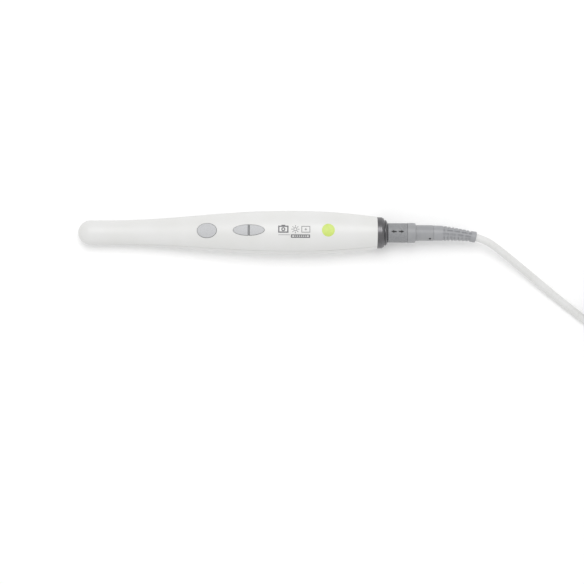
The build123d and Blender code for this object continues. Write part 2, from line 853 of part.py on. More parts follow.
# The cable inside the plug and the boot, and the moulded boot round it
with BuildPart() as cable_core:
    with BuildLine() as core_path:
        entry = Line((at(nose_end), 0, axis_height), (at(boot_start), 0, axis_height))
        JernArc(entry @ 1, entry % 1, boot_radius, -boot_bend)
    with BuildSketch(across(nose_end)):
        Circle(cable_diameter / 2)
    sweep()
export(cable_core.part, "cable_core")

with BuildPart() as strain_relief:
    for distance, radius in boot_profile:
        with BuildSketch(boot_plane(distance)):
            Circle(radius)
    loft()
    add(cable_core.part, mode=Mode.SUBTRACT)
export(strain_relief.part, "strain_relief")

# ---------------------------------------------------------------- cord


def bend_radii(points):
    """The largest arcs that the route's runs allow."""
    corners = [Vector(*p) for p in points]
    radii = []
    for before, corner, after in zip(corners, corners[1:], corners[2:]):
        turn = math.radians((corner - before).get_angle(after - corner))
        shorter = min((corner - before).length, (after - corner).length)
        radii.append(0.45 * shorter / math.tan(turn / 2))
    return radii


boot_mouth = boot_plane(boot_length).origin
lead_points = [tuple(boot_mouth)] + lead_route
for route_name, points in (("cord_lead", lead_points), ("cord_tail", tail_route)):
    radii = bend_radii(points)
    with BuildPart() as cord:
        with BuildLine() as route:
            FilletPolyline(*points, radius=radii)
        with BuildSketch(Plane(origin=route.line @ 0, z_dir=route.line % 0)):
            Circle(cable_diameter / 2)
        sweep()
    export(cord.part, route_name)
    length = sum(edge.length for edge in route.edges())
    ideal = length * math.pi * cable_diameter ** 2 / 4
    print(route_name, "start", [round(c, 2) for c in points[0]], "length", round(length, 1),
          "radii", [round(r) for r in radii], "volume over ideal",
          round(cord.part.volume / ideal, 4))

coil_foot = (coil_centre[0], coil_centre[1], 0)
coil_axis = Axis(coil_foot, (0, 0, 1))


def coil_section(angle):
    """Upright plane through the coil's axis, its own X outwards at an angle in degrees."""
    turn = math.radians(angle)
    return Plane(origin=coil_foot, x_dir=(math.cos(turn), math.sin(turn), 0),
                 z_dir=(math.sin(turn), -math.cos(turn), 0))


coil_middle = (coil_middle_radius, tie_thickness + coil_height / 2)
with BuildPart() as cord_coil:
    with BuildSketch(coil_section(0)):
        with Locations(coil_middle):
            RectangleRounded(coil_width, coil_height, coil_corner)
    revolve(axis=coil_axis)
export(cord_coil.part, "cord_coil")

tie_arc = math.degrees(tie_width / coil_middle_radius)
with BuildPart() as cord_ties:
    for angle in tie_angles:
        with BuildSketch(coil_section(angle)):
            with Locations(coil_middle):
                RectangleRounded(coil_width + 2 * tie_thickness, coil_height + 2 * tie_thickness,
                                 coil_corner + tie_thickness)
                RectangleRounded(coil_width, coil_height, coil_corner, mode=Mode.SUBTRACT)
        revolve(axis=coil_axis, revolution_arc=tie_arc)
export(cord_ties.part, "cord_ties")

# ---------------------------------------------------------------- USB plug
usb_x, usb_start, usb_axis = tail_route[-1]
usb_body_start = usb_start + usb_relief_length
usb_shell_start = usb_body_start + usb_body_length


def along_plug(y):
    """Plane square to the USB plug, its own X along the object's -X."""
    return Plane(origin=(usb_x, y, usb_axis), x_dir=(-1, 0, 0), z_dir=(0, 1, 0))


with BuildPart() as usb_strain_relief:
    with BuildSketch(along_plug(usb_start)):
        Circle(usb_relief_radii[0])
    with BuildSketch(along_plug(usb_body_start)):
        Circle(usb_relief_radii[1])
    loft()
export(usb_strain_relief.part, "usb_strain_relief")

with BuildPart() as usb_overmould:
    with BuildSketch(along_plug(usb_body_start)):
        RectangleRounded(usb_body_width, usb_body_height, usb_body_corner)
    extrude(amount=usb_body_length)
    chamfer(usb_overmould.edges().group_by(Axis.Y)[-1], usb_body_corner / 2)
export(usb_overmould.part, "usb_overmould")

with BuildPart() as usb_shell:
    with BuildSketch(along_plug(usb_shell_start)):
        Rectangle(usb_shell_width, usb_shell_height)
        offset(amount=-usb_sheet, mode=Mode.SUBTRACT)
    extrude(amount=usb_shell_length)
export(usb_shell.part, "usb_shell")

tongue_width = usb_shell_width - 2 * usb_sheet
tongue_floor = usb_axis - usb_shell_height / 2 + usb_sheet
tongue_length = usb_shell_length - usb_tongue_setback
to_front = (Align.CENTER, Align.MIN, Align.MIN)
with BuildPart() as usb_tongue:
    with Locations((usb_x, usb_shell_start, tongue_floor)):
        Box(tongue_width, tongue_length, usb_tongue_thickness, align=to_front)
export(usb_tongue.part, "usb_tongue")

first_contact = usb_x - usb_contact_pitch * (usb_contact_count - 1) / 2
with BuildPart() as usb_contacts:
    for i in range(usb_contact_count):
        with Locations((first_contact + i * usb_contact_pitch, usb_shell_start + usb_tongue_setback,
                        tongue_floor + usb_tongue_thickness)):
            Box(*usb_contact_size, align=to_front)
export(usb_contacts.part, "usb_contacts")

print("boot mouth", [round(c, 2) for c in boot_mouth], "overall length", round(overall_length, 2))
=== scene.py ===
"""Intraoral camera: the looks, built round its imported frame, in metres."""
import math

import bpy
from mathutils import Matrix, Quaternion, Vector


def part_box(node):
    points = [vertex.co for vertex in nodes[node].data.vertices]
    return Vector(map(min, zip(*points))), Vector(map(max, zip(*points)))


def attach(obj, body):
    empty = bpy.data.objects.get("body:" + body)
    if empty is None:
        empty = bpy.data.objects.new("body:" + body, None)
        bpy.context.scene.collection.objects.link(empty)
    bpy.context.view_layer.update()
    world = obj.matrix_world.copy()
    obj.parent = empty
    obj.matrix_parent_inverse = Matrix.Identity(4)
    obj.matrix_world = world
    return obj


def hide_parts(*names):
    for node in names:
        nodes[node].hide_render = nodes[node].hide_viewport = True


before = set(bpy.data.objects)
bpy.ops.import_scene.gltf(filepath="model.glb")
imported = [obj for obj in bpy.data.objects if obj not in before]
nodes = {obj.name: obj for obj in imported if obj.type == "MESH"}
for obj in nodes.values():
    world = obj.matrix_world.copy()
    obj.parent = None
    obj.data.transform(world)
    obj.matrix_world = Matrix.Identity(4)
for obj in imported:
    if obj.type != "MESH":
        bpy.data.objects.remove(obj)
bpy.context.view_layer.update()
MM = 0.001

# ---------------------------------------------------------------- table, light and camera
# A sheet of white paper lit from the back, a square softbox overhead and a pale sky round it,
# as in a small studio. None of it belongs to the object.
bpy.ops.mesh.primitive_plane_add(size=6.0, location=(0, 0, -0.05 * MM))
table = bpy.context.object
table.name = "table"


def linear(colour):
    """A hex sRGB colour as linear RGBA."""
    channels = [int(colour[i:i + 2], 16) / 255 for i in (0, 2, 4)]
    return [c / 12.92 if c <= 0.04045 else ((c + 0.055) / 1.055) ** 2.4 for c in channels] + [1.0]


def add_node(tree, kind, inputs=None, **settings):
    """Adds a node; each input is a value, or the output that feeds it."""
    made = tree.nodes.new(kind)
    for name, value in settings.items():
        setattr(made, name, value)
    for name, value in (inputs or {}).items():
        if isinstance(value, bpy.types.NodeSocket):
            tree.links.new(value, made.inputs[name])
        else:
            made.inputs[name].default_value = value
    return made


def new_material(name, colour, roughness, metallic=0.0, **extra):
    """A material with one shader; extra names the shader's other constant sockets."""
    material = bpy.data.materials.new(name)
    material.use_nodes = True
    tree = material.node_tree
    shader = tree.nodes["Principled BSDF"]
    shader.inputs["Base Color"].default_value = linear(colour)
    shader.inputs["Roughness"].default_value = roughness
    shader.inputs["Metallic"].default_value = metallic
    for socket, value in extra.items():
        shader.inputs[socket.replace("_", " ")].default_value = value
    material.diffuse_color = linear(colour)
    return material, tree, shader


def noise(tree, size_mm, detail=3.0, stretch=(1, 1, 1)):
    """Soft noise with features of one size in millimetres."""
    place = add_node(tree, "ShaderNodeTexCoord").outputs["Object"]
    stretched = add_node(tree, "ShaderNodeMapping", {"Vector": place, "Scale": stretch})
    return add_node(tree, "ShaderNodeTexNoise", {
        "Vector": stretched.outputs["Vector"], "Scale": 1 / (size_mm * MM),
        "Detail": detail}).outputs["Fac"]


def drive(tree, shader, socket, pattern, low, high, ends=(0.35, 0.65)):
    """Drives a socket by a pattern between two colours or two numbers."""
    ramp = add_node(tree, "ShaderNodeValToRGB", {"Fac": pattern})
    if isinstance(low, str):
        limits = (linear(low), linear(high))
    else:
        limits = ([low] * 3 + [1], [high] * 3 + [1])
    for element, position, value in zip(ramp.color_ramp.elements, ends, limits):
        element.position = position
        element.color = value
    tree.links.new(ramp.outputs["Color"], shader.inputs[socket])


def relief(tree, shader, height, depth_mm):
    """Gives the surface a bump of one depth."""
    bump = add_node(tree, "ShaderNodeBump", {"Height": height, "Distance": depth_mm * MM})
    tree.links.new(bump.outputs["Normal"], shader.inputs["Normal"])


def dress(material, *pieces):
    """Gives pieces, or CAD nodes by name, their one material."""
    for piece in pieces:
        shown = nodes[piece] if isinstance(piece, str) else piece
        shown.data.materials.clear()
        shown.data.materials.append(material)


paper, tree, shader = new_material("backlit_white_paper", "f4f4f4", 0.9, Emission_Strength=0.1)
shader.inputs["Emission Color"].default_value = linear("ffffff")
relief(tree, shader, noise(tree, 1.2), 0.02)
dress(paper, table)

world = bpy.data.worlds.new("pale_sky")
bpy.context.scene.world = world
world.use_nodes = True
sky = world.node_tree.nodes["Background"]
sky.inputs["Color"].default_value = linear("ffffff")
sky.inputs["Strength"].default_value = 0.8

SOFTBOX_PLACE = Vector((0.0, 0.30, 1.0))
bpy.ops.object.light_add(type="AREA", location=SOFTBOX_PLACE)
softbox = bpy.context.object
softbox.name = "softbox"
softbox.data.shape = "SQUARE"
softbox.data.size = 0.6
softbox.data.energy = 3.6
softbox.rotation_euler = (-SOFTBOX_PLACE).to_track_quat("-Z", "Y").to_euler()

VIEW_WIDTH = 376.68 * MM      # across the frame, at the object
LENS, SENSOR = 85.0, 36.0
ELEVATION = math.radians(84.0)
AIM = Vector((9.8 * MM, -38.8 * MM, 11.0 * MM))
ROLL = math.radians(0.22)
away = Vector((0.0, -math.cos(ELEVATION), math.sin(ELEVATION)))
level = (-away).to_track_quat("-Z", "Y")
bpy.ops.object.camera_add(location=AIM + away * VIEW_WIDTH * LENS / SENSOR,
                          rotation=(level @ Quaternion((0, 0, 1), ROLL)).to_euler())
camera = bpy.context.object
camera.data.lens, camera.data.sensor_width = LENS, SENSOR
camera.data.clip_start, camera.data.clip_end = 0.01, 20.0
bpy.context.scene.camera = camera
bpy.context.scene.view_settings.view_transform = "Standard"

# ---------------------------------------------------------------- lead
# Round USB lead: 2.4 m of 5 mm cable with an extruded white PVC jacket. It leaves the boot, comes
# down to the table, is put away as a tied coil of fourteen turns, and ends in the USB plug.
CABLE = 5.0 * MM
lead_route = [
    (128.67, -2.68, 10.8), (133.3, -4.1, 10.75), (138.3, -6.6, 10.5), (144.2, -10.9, 9.8),
    (155.0, -19.2, 7.7), (168.0, -29.6, 5.0), (181.5, -40.6, 3.0), (202.0, -57.0, 2.6),
    (222.2, -73.0, 3.3),
]
tail_route = [
    (258.8, -75.6, 17.2), (265.6, -74.1, 17.1), (272.5, -71.7, 15.9), (279.0, -67.9, 13.3),
    (284.1, -62.2, 10.2), (287.3, -55.2, 7.3), (288.9, -47.5, 5.0), (289.2, -39.5, 4.0),
    (289.2, -32.0, 4.0),
]
COIL_X, COIL_Y = 243.7, -46.0
# Four turns and the three in the grooves above them, twice over
turn_radii = [34.5, 29.5, 24.5, 19.5, 22.0, 27.0, 32.0] * 2
turn_heights = [3.3] * 4 + [7.8] * 3 + [12.3] * 4 + [16.8] * 3
POINTS_A_TURN = 20
CHANGE_OVER = 0.84            # the share of a turn after which it moves to the next one's place
FIRST_ANGLE, LAST_ANGLE = 231.5, 285.0
steps = round((len(turn_radii) - 1 + (LAST_ANGLE - FIRST_ANGLE) / 360) * POINTS_A_TURN)
coil_route = []
for step in range(1, steps):
    turn, part = divmod(step / POINTS_A_TURN, 1)
    turn = int(turn)
    following = min(turn + 1, len(turn_radii) - 1)
    moved = max((part - CHANGE_OVER) / (1 - CHANGE_OVER), 0.0)
    radius = turn_radii[turn] + (turn_radii[following] - turn_radii[turn]) * moved
    height = turn_heights[turn] + (turn_heights[following] - turn_heights[turn]) * moved
    angle = math.radians(FIRST_ANGLE + 360 * step / POINTS_A_TURN)
    coil_route.append((COIL_X + radius * math.cos(angle), COIL_Y + radius * math.sin(angle),
                       height))

route = lead_route + coil_route + tail_route
line = bpy.data.curves.new("lead", "CURVE")
line.dimensions = "3D"
spline = line.splines.new("NURBS")
spline.points.add(len(route) - 1)
for point, place in zip(spline.points, route):
    point.co = (*[c * MM for c in place], 1.0)
    point.radius = CABLE / 2
spline.order_u = 3
spline.use_endpoint_u = True
spline.resolution_u = 6
line.bevel_depth = 1.0          # times each point's own radius
line.bevel_resolution = 5
line.use_fill_caps = True
lead = bpy.data.objects.new("lead", line)
bpy.context.scene.collection.objects.link(lead)
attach(lead, "cable_plug")
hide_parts("cord_lead", "cord_coil", "cord_tail")
# Extruded PVC: glossy white with a faint length of colour drift and the extruder's soft ripple.
jacket, tree, shader = new_material("extruded_white_pvc", "eeeeec", 0.28, Coat_Weight=0.15,
                                    Coat_Roughness=0.15)
drive(tree, shader, "Base Color", noise(tree, 14.0), "dededd", "dadad8")
drive(tree, shader, "Roughness", noise(tree, 2.0), 0.24, 0.34)
relief(tree, shader, noise(tree, 3.0, detail=1.0), 0.01)
dress(jacket, lead, "cable_core")

# ---------------------------------------------------------------- coil ties
# Two straps of hook-and-loop tape, 9 mm wide, wrapped round the coil and pressed shut.
# Woven nylon: matt light grey, with the threads showing as fine ribs.
THREAD = 0.55                 # spacing of the threads, drawn a little coarse so that it shows
tape, tree, shader = new_material("woven_nylon_tape", "b9babc", 0.85, Sheen_Weight=0.3,
                                  Sheen_Roughness=0.5)
place = add_node(tree, "ShaderNodeTexCoord").outputs["Object"]
weave = add_node(tree, "ShaderNodeTexVoronoi", {
    "Vector": place, "Scale": 1 / (THREAD * MM), "Randomness": 0.25}).outputs["Distance"]
# The grey darkens away from each thread's middle, where the relief sinks: painted shade between
# the threads.
drive(tree, shader, "Base Color", weave, "c3c4c6", "9c9da0", ends=(0.1, 0.7))
relief(tree, shader, weave, -0.12)
dress(tape, "cord_ties")

# ---------------------------------------------------------------- head optics
# A black moulded carrier holds the prism and the lens barrel in the head, and a round sapphire
# window in a black bezel closes the head's underside.
# Optical glass: clear, colourless, polished.
glass, tree, shader = new_material("polished_optical_glass", "f4f8fa", 0.03,
                                   Transmission_Weight=1.0, IOR=1.52)
drive(tree, shader, "Roughness", noise(tree, 2.0), 0.02, 0.05)
dress(glass, "prism", "lens_elements")

# Sapphire window: clear with a blue-purple cast of its anti-reflection coating.
sapphire, tree, shader = new_material("coated_sapphire", "c9d2e6", 0.04, Transmission_Weight=0.8,
                                      IOR=1.77, Thin_Film_Thickness=280.0, Thin_Film_IOR=1.38)
drive(tree, shader, "Roughness", noise(tree, 1.5), 0.03, 0.06)
dress(sapphire, "lens_window")

# Black anodised aluminium, bead blasted: dull, so that it gives no stray light.
black_metal, tree, shader = new_material("black_anodised_aluminium", "1b1b1d", 0.5, metallic=0.6)
drive(tree, shader, "Roughness", noise(tree, 0.5), 0.42, 0.6)
relief(tree, shader, noise(tree, 0.12), 0.006)
dress(black_metal, "window_bezel", "lens_barrel")

# Glass-filled nylon: charcoal, matt, slightly mottled by the fibres.
nylon, tree, shader = new_material("glass_filled_nylon", "34363a", 0.6)
drive(tree, shader, "Base Color", noise(tree, 0.8, stretch=(0.3, 1, 1)), "303236", "3d4045")
relief(tree, shader, noise(tree, 0.3), 0.01)
dress(nylon, "optics_carrier", "key_carrier", "capture_plunger", "previous_plunger",
      "next_plunger")

# ---------------------------------------------------------------- lighting in the head
# A ring of opal polycarbonate spreads the light of small white LEDs round the window.
# Opal polycarbonate: milky, satin, with light passing into it.
opal, tree, shader = new_material("opal_polycarbonate", "e6e8e6", 0.35, Subsurface_Weight=0.25,
                                  Subsurface_Scale=0.5 * MM)
shader.inputs["Subsurface Radius"].default_value = (1.0, 1.0, 1.0)
drive(tree, shader, "Roughness", noise(tree, 0.7), 0.3, 0.42)
relief(tree, shader, noise(tree, 0.25), 0.006)
dress(opal, "light_ring")

# LED packages: white ceramic filled with yellow phosphor.
phosphor, tree, shader = new_material("phosphor_filled_led", "e8cf52", 0.45)
drive(tree, shader, "Base Color", noise(tree, 0.25), "e9d45e", "d9b93e")
dress(phosphor, "head_leds", "indicator_led")

# ---------------------------------------------------------------- boards and chips
# Glass-epoxy boards under green solder mask, screwed into the lower shell and joined to the
# head by an amber polyimide flex. The chips are moulded in black epoxy.
# Solder mask: dark green, glossy, with the weave of the glass cloth just showing.
mask, tree, shader = new_material("green_solder_mask", "1f5a3c", 0.3)
place = add_node(tree, "ShaderNodeTexCoord").outputs["Object"]
cloth = add_node(tree, "ShaderNodeTexChecker", {
    "Vector": place, "Scale": 1 / (0.6 * MM)}).outputs["Fac"]
drive(tree, shader, "Base Color", cloth, "1d573a", "246244", ends=(0.0, 1.0))
relief(tree, shader, noise(tree, 0.6), 0.01)
dress(mask, "led_board", "sensor_board", "main_board")

# Moulded epoxy: near black, matt, laser-marked face left blank.
epoxy, tree, shader = new_material("moulded_black_epoxy", "1a1a1c", 0.65)
drive(tree, shader, "Roughness", noise(tree, 0.4), 0.58, 0.72)
relief(tree, shader, noise(tree, 0.1), 0.005)
dress(epoxy, "image_processor", "memory_chip", "image_sensor", "switch_bodies")

# Polyimide film: amber and slightly see-through, glossy over its copper tracks.
amber, tree, shader = new_material("polyimide_film", "b0651d", 0.35, Coat_Weight=0.4,
                                   Coat_Roughness=0.1)
tracks = add_node(tree, "ShaderNodeTexWave", {
    "Vector": add_node(tree, "ShaderNodeTexCoord").outputs["Object"],
    "Scale": 1 / (3.2 * MM), "Distortion": 0.0}, bands_direction="Y").outputs["Fac"]
drive(tree, shader, "Base Color", tracks, "8a4a14", "c27a2a", ends=(0.35, 0.6))
dress(amber, "head_flex")

# Liquid-crystal polymer: ivory, dull, moulded.
ivory, tree, shader = new_material("moulded_lcp", "d9d2bd", 0.5)
drive(tree, shader, "Base Color", noise(tree, 1.2), "dcd5c1", "cfc7b0")
dress(ivory, "flex_connector", "socket_insulator", "plug_insulator")

# Stainless screws: turned and passivated.
steel, tree, shader = new_material("passivated_stainless_steel", "b3b3b5", 0.3, metallic=1.0)
drive(tree, shader, "Roughness", noise(tree, 0.3), 0.25, 0.42)
dress(steel, "board_screws")

# ---------------------------------------------------------------- socket and plug inside the rear
# A push-pull round connector: nickel-plated brass shells with an insulator and gold pins.
# Nickel plate: bright, slightly warm, with fine turning marks across the axis.
nickel, tree, shader = new_material("nickel_plated_brass", "bdb8b0", 0.22, metallic=1.0)
turning = noise(tree, 0.25, stretch=(1, 0.02, 0.02))
drive(tree, shader, "Roughness", turning, 0.16, 0.32)
relief(tree, shader, turning, 0.003)
dress(nickel, "socket_shell", "plug_nose", "latch_sleeve")

# Hard gold over nickel: yellow, bright.
gold, tree, shader = new_material("hard_gold_plate", "e0b04c", 0.2, metallic=1.0)
drive(tree, shader, "Roughness", noise(tree, 0.4), 0.16, 0.28)
dress(gold, "socket_contacts", "plug_contacts", "usb_contacts")

# Free-cutting brass, turned and left bare, grips the cable inside the backshell.
brass, tree, shader = new_material("turned_brass", "c3a05a", 0.3, metallic=1.0)
drive(tree, shader, "Roughness", noise(tree, 0.25, stretch=(1, 0.05, 0.05)), 0.22, 0.4)
dress(brass, "cable_clamp")

# ---------------------------------------------------------------- shells
# Two injection-moulded shells, the lower one carrying the window and the upper one the keys,
# clipped together over a thin silicone gasket that shows as a line along both sides.
# ABS, moulded in a polished tool: glossy white, with a slight orange peel.
abs_white, tree, shader = new_material("gloss_white_abs", "dededd", 0.36)
drive(tree, shader, "Base Color", noise(tree, 18.0), "dfdfde", "dcdcda")
drive(tree, shader, "Roughness", noise(tree, 4.0), 0.32, 0.4)
relief(tree, shader, noise(tree, 1.5), 0.004)
dress(abs_white, "upper_shell", "lower_shell")

# Silicone: dull, its grey drawn darker than the gasket's own light grey to paint in the shade that
# falls in the seam between the shells.
silicone, tree, shader = new_material("silicone_with_painted_seam_shade", "9c9c9a", 0.6)
drive(tree, shader, "Roughness", noise(tree, 0.5), 0.55, 0.7)
relief(tree, shader, noise(tree, 0.3), 0.008)
dress(silicone, "shell_gasket")

# ---------------------------------------------------------------- keys
# A round capture key and a split oval key sit in the upper shell over rubber seals, with a fixed
# bar between the oval's halves. Each cap is moulded in grey ABS with a spark-eroded face.
# Eroded ABS: satin grey, with a fine grain drawn at 0.5 mm so that it shows.
eroded, tree, shader = new_material("eroded_grey_abs", "d0d1d3", 0.42)
drive(tree, shader, "Base Color", noise(tree, 0.5, detail=2.0), "c3c4c6", "b8b9bb")
drive(tree, shader, "Roughness", noise(tree, 0.5), 0.36, 0.5)
relief(tree, shader, noise(tree, 0.35), 0.02)
dress(eroded, "capture_key", "previous_key", "next_key")

# The bar between the halves: the same ABS in a darker grey.
bar_grey, tree, shader = new_material("dark_grey_abs", "9a9b9d", 0.45)
drive(tree, shader, "Roughness", noise(tree, 0.5), 0.4, 0.52)
relief(tree, shader, noise(tree, 0.35), 0.01)
dress(bar_grey, "key_divider")

# Moulded silicone rubber under the keys: black and matt.
seal, tree, shader = new_material("black_silicone_rubber", "2a2a2c", 0.75)
drive(tree, shader, "Roughness", noise(tree, 0.5), 0.7, 0.85)
dress(seal, "key_seals")

# ---------------------------------------------------------------- ready light
# A lime polycarbonate disc, flush in the upper shell, lit from below by a clear light pipe.
# Tinted polycarbonate: lime, softly glossy, light spreading inside it.
lime, tree, shader = new_material("lime_polycarbonate", "d4ea7e", 0.35, Subsurface_Weight=0.15,
                                  Subsurface_Scale=0.6 * MM)
shader.inputs["Subsurface Radius"].default_value = (1.0, 1.0, 0.5)
drive(tree, shader, "Base Color", noise(tree, 1.4), "c9dd72", "c4d86a")
drive(tree, shader, "Roughness", noise(tree, 0.8), 0.3, 0.42)
dress(lime, "indicator_lens")

# Clear acrylic pipe between the LED and the disc.
acrylic, tree, shader = new_material("clear_acrylic", "f2f6f4", 0.08, Transmission_Weight=0.9,
                                     IOR=1.49)
drive(tree, shader, "Roughness", noise(tree, 1.0), 0.05, 0.14)
dress(acrylic, "light_pipe")

# ---------------------------------------------------------------- printed marks
# Pad-printed in grey ink on the upper shell between the keys and the ready light: a camera, a
# sun for the head's light, a hairline and a short dark bar. They say nothing.
MARK_X, MARK_Y = 0.8, -0.45   # the row's left end and its middle
INK_LIFT = 0.05               # ink over plastic
DRAWN_AT = 30.0               # marks are drawn this far over the table, then laid down
BAR_STEP = 0.4                # length of a printed bar's faces


def only(made):
    """Leaves one object selected and active."""
    bpy.ops.object.select_all(action="DESELECT")
    made.select_set(True)
    bpy.context.view_layer.objects.active = made


def settle(made, name):
    """Names a finished piece and takes its place, turn and size into its mesh."""
    only(made)
    bpy.ops.object.transform_apply(location=True, rotation=True, scale=True)
    made.name = made.data.name = name
    return made


def choose(made, kind, test):
    """In edit mode, selects the faces or points whose place, and normal, pass a test."""
    bpy.ops.mesh.select_mode(type=kind)
    bpy.ops.mesh.select_all(action="DESELECT")
    bpy.ops.object.mode_set(mode="OBJECT")
    elements = made.data.polygons if kind == "FACE" else made.data.vertices
    for element in elements:
        middle = element.center if kind == "FACE" else element.co
        element.select = test(middle, element.normal)
    bpy.ops.object.mode_set(mode="EDIT")


def flat_bar(x, y, length, width, turn=0.0):
    """A printed bar, cut finely enough to follow the shell."""
    bpy.ops.mesh.primitive_grid_add(x_subdivisions=max(int(length / BAR_STEP), 2),
                                    y_subdivisions=6, size=1.0,
                                    location=Vector((x, y, DRAWN_AT)) * MM,
                                    rotation=(0, 0, turn))
    bpy.context.object.scale = (length * MM, width * MM, 1)
    return bpy.context.object


def flat_ring(x, y, outer, inner):
    """A printed ring, or a dot where the inner radius is nothing."""
    bpy.ops.mesh.primitive_circle_add(vertices=48, radius=outer * MM, fill_type="NGON",
                                      location=Vector((x, y, DRAWN_AT)) * MM)
    ring = bpy.context.object
    bpy.ops.object.mode_set(mode="EDIT")
    bpy.ops.mesh.inset(thickness=(outer - inner) * MM if inner else outer * MM * 0.5)
    if inner:
        bpy.ops.mesh.delete(type="FACE")
    bpy.ops.object.mode_set(mode="OBJECT")
    return ring


def outline(x, y, length, rise, line, side, side_height):
    """A printed rectangle of four bars; rise is from its middle to its upper bar's."""
    reach = (length - side) / 2
    return [flat_bar(x, y + rise, length, line), flat_bar(x, y - rise, length, line),
            flat_bar(x - reach, y, side, side_height), flat_bar(x + reach, y, side, side_height)]


def printed(name, shapes, onto, lift=INK_LIFT):
    """Joins flat shapes and lays them on the surface below."""
    only(shapes[0])
    for shape in shapes[1:]:
        shape.select_set(True)
    bpy.ops.object.join()
    made = settle(bpy.context.object, name)
    wrap = made.modifiers.new("lay", "SHRINKWRAP")
    wrap.target = onto
    wrap.wrap_method = "PROJECT"
    wrap.use_project_z = True
    wrap.use_negative_direction = True
    wrap.use_positive_direction = False
    wrap.offset = lift * MM
    bpy.ops.object.modifier_apply(modifier="lay")
    bpy.ops.object.shade_smooth()
    return made


camera_x, camera_y = MARK_X + 3.3, MARK_Y + 0.9
camera_mark = outline(camera_x, camera_y, 6.6, 1.9, 0.8, 0.8, 3.2)
camera_mark += [flat_bar(camera_x, camera_y + 2.5, 2.4, 0.7),
                flat_ring(camera_x, camera_y, 1.3, 0.6)]

sun_x = MARK_X + 11.0
RAYS = 8
RAY_MIDDLE = 2.1              # from the sun's middle to the middle of a ray
sun_mark = [flat_ring(sun_x, camera_y, 1.2, 0.8)]
for ray in range(RAYS):
    angle = 2 * math.pi * ray / RAYS
    sun_mark.append(flat_bar(sun_x + RAY_MIDDLE * math.cos(angle),
                             camera_y + RAY_MIDDLE * math.sin(angle), 1.0, 0.4, turn=angle))

frame_x = MARK_X + 17.7
frame_mark = outline(frame_x, camera_y, 5.6, 1.9, 0.4, 0.4, 3.4)
frame_mark += [flat_bar(frame_x, camera_y, 1.6, 0.35, turn=turn) for turn in (0.0, math.pi / 2)]

hairline = [flat_bar(MARK_X + 3.9, MARK_Y - 2.7, 7.6, 0.25)]
BLOCKS, BLOCK_PITCH = 7, 1.2
dark_bar = outline(MARK_X + 14.3, MARK_Y - 3.5, 12.2, 0.75, 0.6, 0.8, 0.9)
dark_bar += [flat_bar(MARK_X + 10.7 + BLOCK_PITCH * i, MARK_Y - 3.5, 0.6, 0.9)
             for i in range(BLOCKS)]

# Pad-printing ink: flat grey, thin, satin; the dark bar and the camera are printed heavier.
dark_ink, tree, shader = new_material("dark_grey_pad_ink", "6c6c6e", 0.5)
drive(tree, shader, "Base Color", noise(tree, 0.6), "66666a", "757577")
pale_ink, tree, shader = new_material("light_grey_pad_ink", "7f7f82", 0.5)
drive(tree, shader, "Base Color", noise(tree, 0.6), "7a7a7d", "868689")
for name, shapes, ink in (("camera_print", camera_mark, dark_ink),
                          ("sun_print", sun_mark, pale_ink),
                          ("focus_frame_print", frame_mark, pale_ink),
                          ("hairline_print", hairline, pale_ink),
                          ("bar_print", dark_bar, dark_ink)):
    mark = printed(name, shapes, nodes["upper_shell"])
    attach(mark, "handpiece")
    dress(ink, mark)

# ---------------------------------------------------------------- rear collar
# A flared ring of turned and anodised aluminium closes the handpiece's rear and holds the
# socket. Dark grey and satin, so the light runs along it as one bright band.
anodised, tree, shader = new_material("dark_grey_anodised_aluminium", "6f6e70", 0.28, metallic=1.0)
turned_lines = noise(tree, 0.3, stretch=(1, 0.03, 0.03))
drive(tree, shader, "Roughness", turned_lines, 0.24, 0.38)
relief(tree, shader, turned_lines, 0.004)
dress(anodised, "rear_collar")

# ---------------------------------------------------------------- release sleeve
# The plug's outer sleeve is pulled back to free its latch. It is turned from aluminium and
# cross-knurled so that a gloved hand holds it, and a plain ring closes its rear end.
AXIS_Z = 10.8                 # height of the connector's axis
SLEEVE_START, SLEEVE_END = 71.54, 84.24
SLEEVE_RADIUS = 6.325
SLEEVE_BORE = 5.2
SLEEVE_EDGE = 0.45
SHOULDER = [(0.0, 0.35), (0.2, 0.12)]   # the edge's points: along, and below the radius
KNURL_ROUND, KNURL_ALONG = 80, 26
KNURL_CREST = SLEEVE_RADIUS - 0.05
KNURL_DEPTH = 0.17
SMOOTH = math.radians(35)     # faces that meet at less than this are shaded as one


def turned(name, profile, segments):
    """Spins a profile of (x, radius) points, in millimetres, round the connector's axis."""
    bpy.ops.mesh.primitive_plane_add(size=MM, location=(0, 0, 0))
    made = bpy.context.object
    bpy.ops.object.mode_set(mode="EDIT")
    bpy.ops.mesh.merge(type="CENTER")
    before = Vector((0, 0, 0))
    for i, (x, radius) in enumerate(profile):
        after = Vector((x * MM, 0, (AXIS_Z + radius) * MM))
        if i:
            bpy.ops.mesh.extrude_region_move(TRANSFORM_OT_translate={"value": after - before})
        else:
            bpy.ops.transform.translate(value=after)
        before = after
    bpy.ops.mesh.select_all(action="SELECT")
    bpy.ops.mesh.spin(steps=segments, angle=2 * math.pi, center=(0, 0, AXIS_Z * MM),
                      axis=(1, 0, 0))
    bpy.ops.mesh.select_all(action="SELECT")
    bpy.ops.mesh.remove_doubles(threshold=0.001 * MM)
    bpy.ops.mesh.normals_make_consistent(inside=False)
    bpy.ops.object.mode_set(mode="OBJECT")
    return settle(made, name)


def off_axis(place):
    """Distance from the connector's axis in millimetres."""
    return math.hypot(place.y, place.z - AXIS_Z * MM) / MM


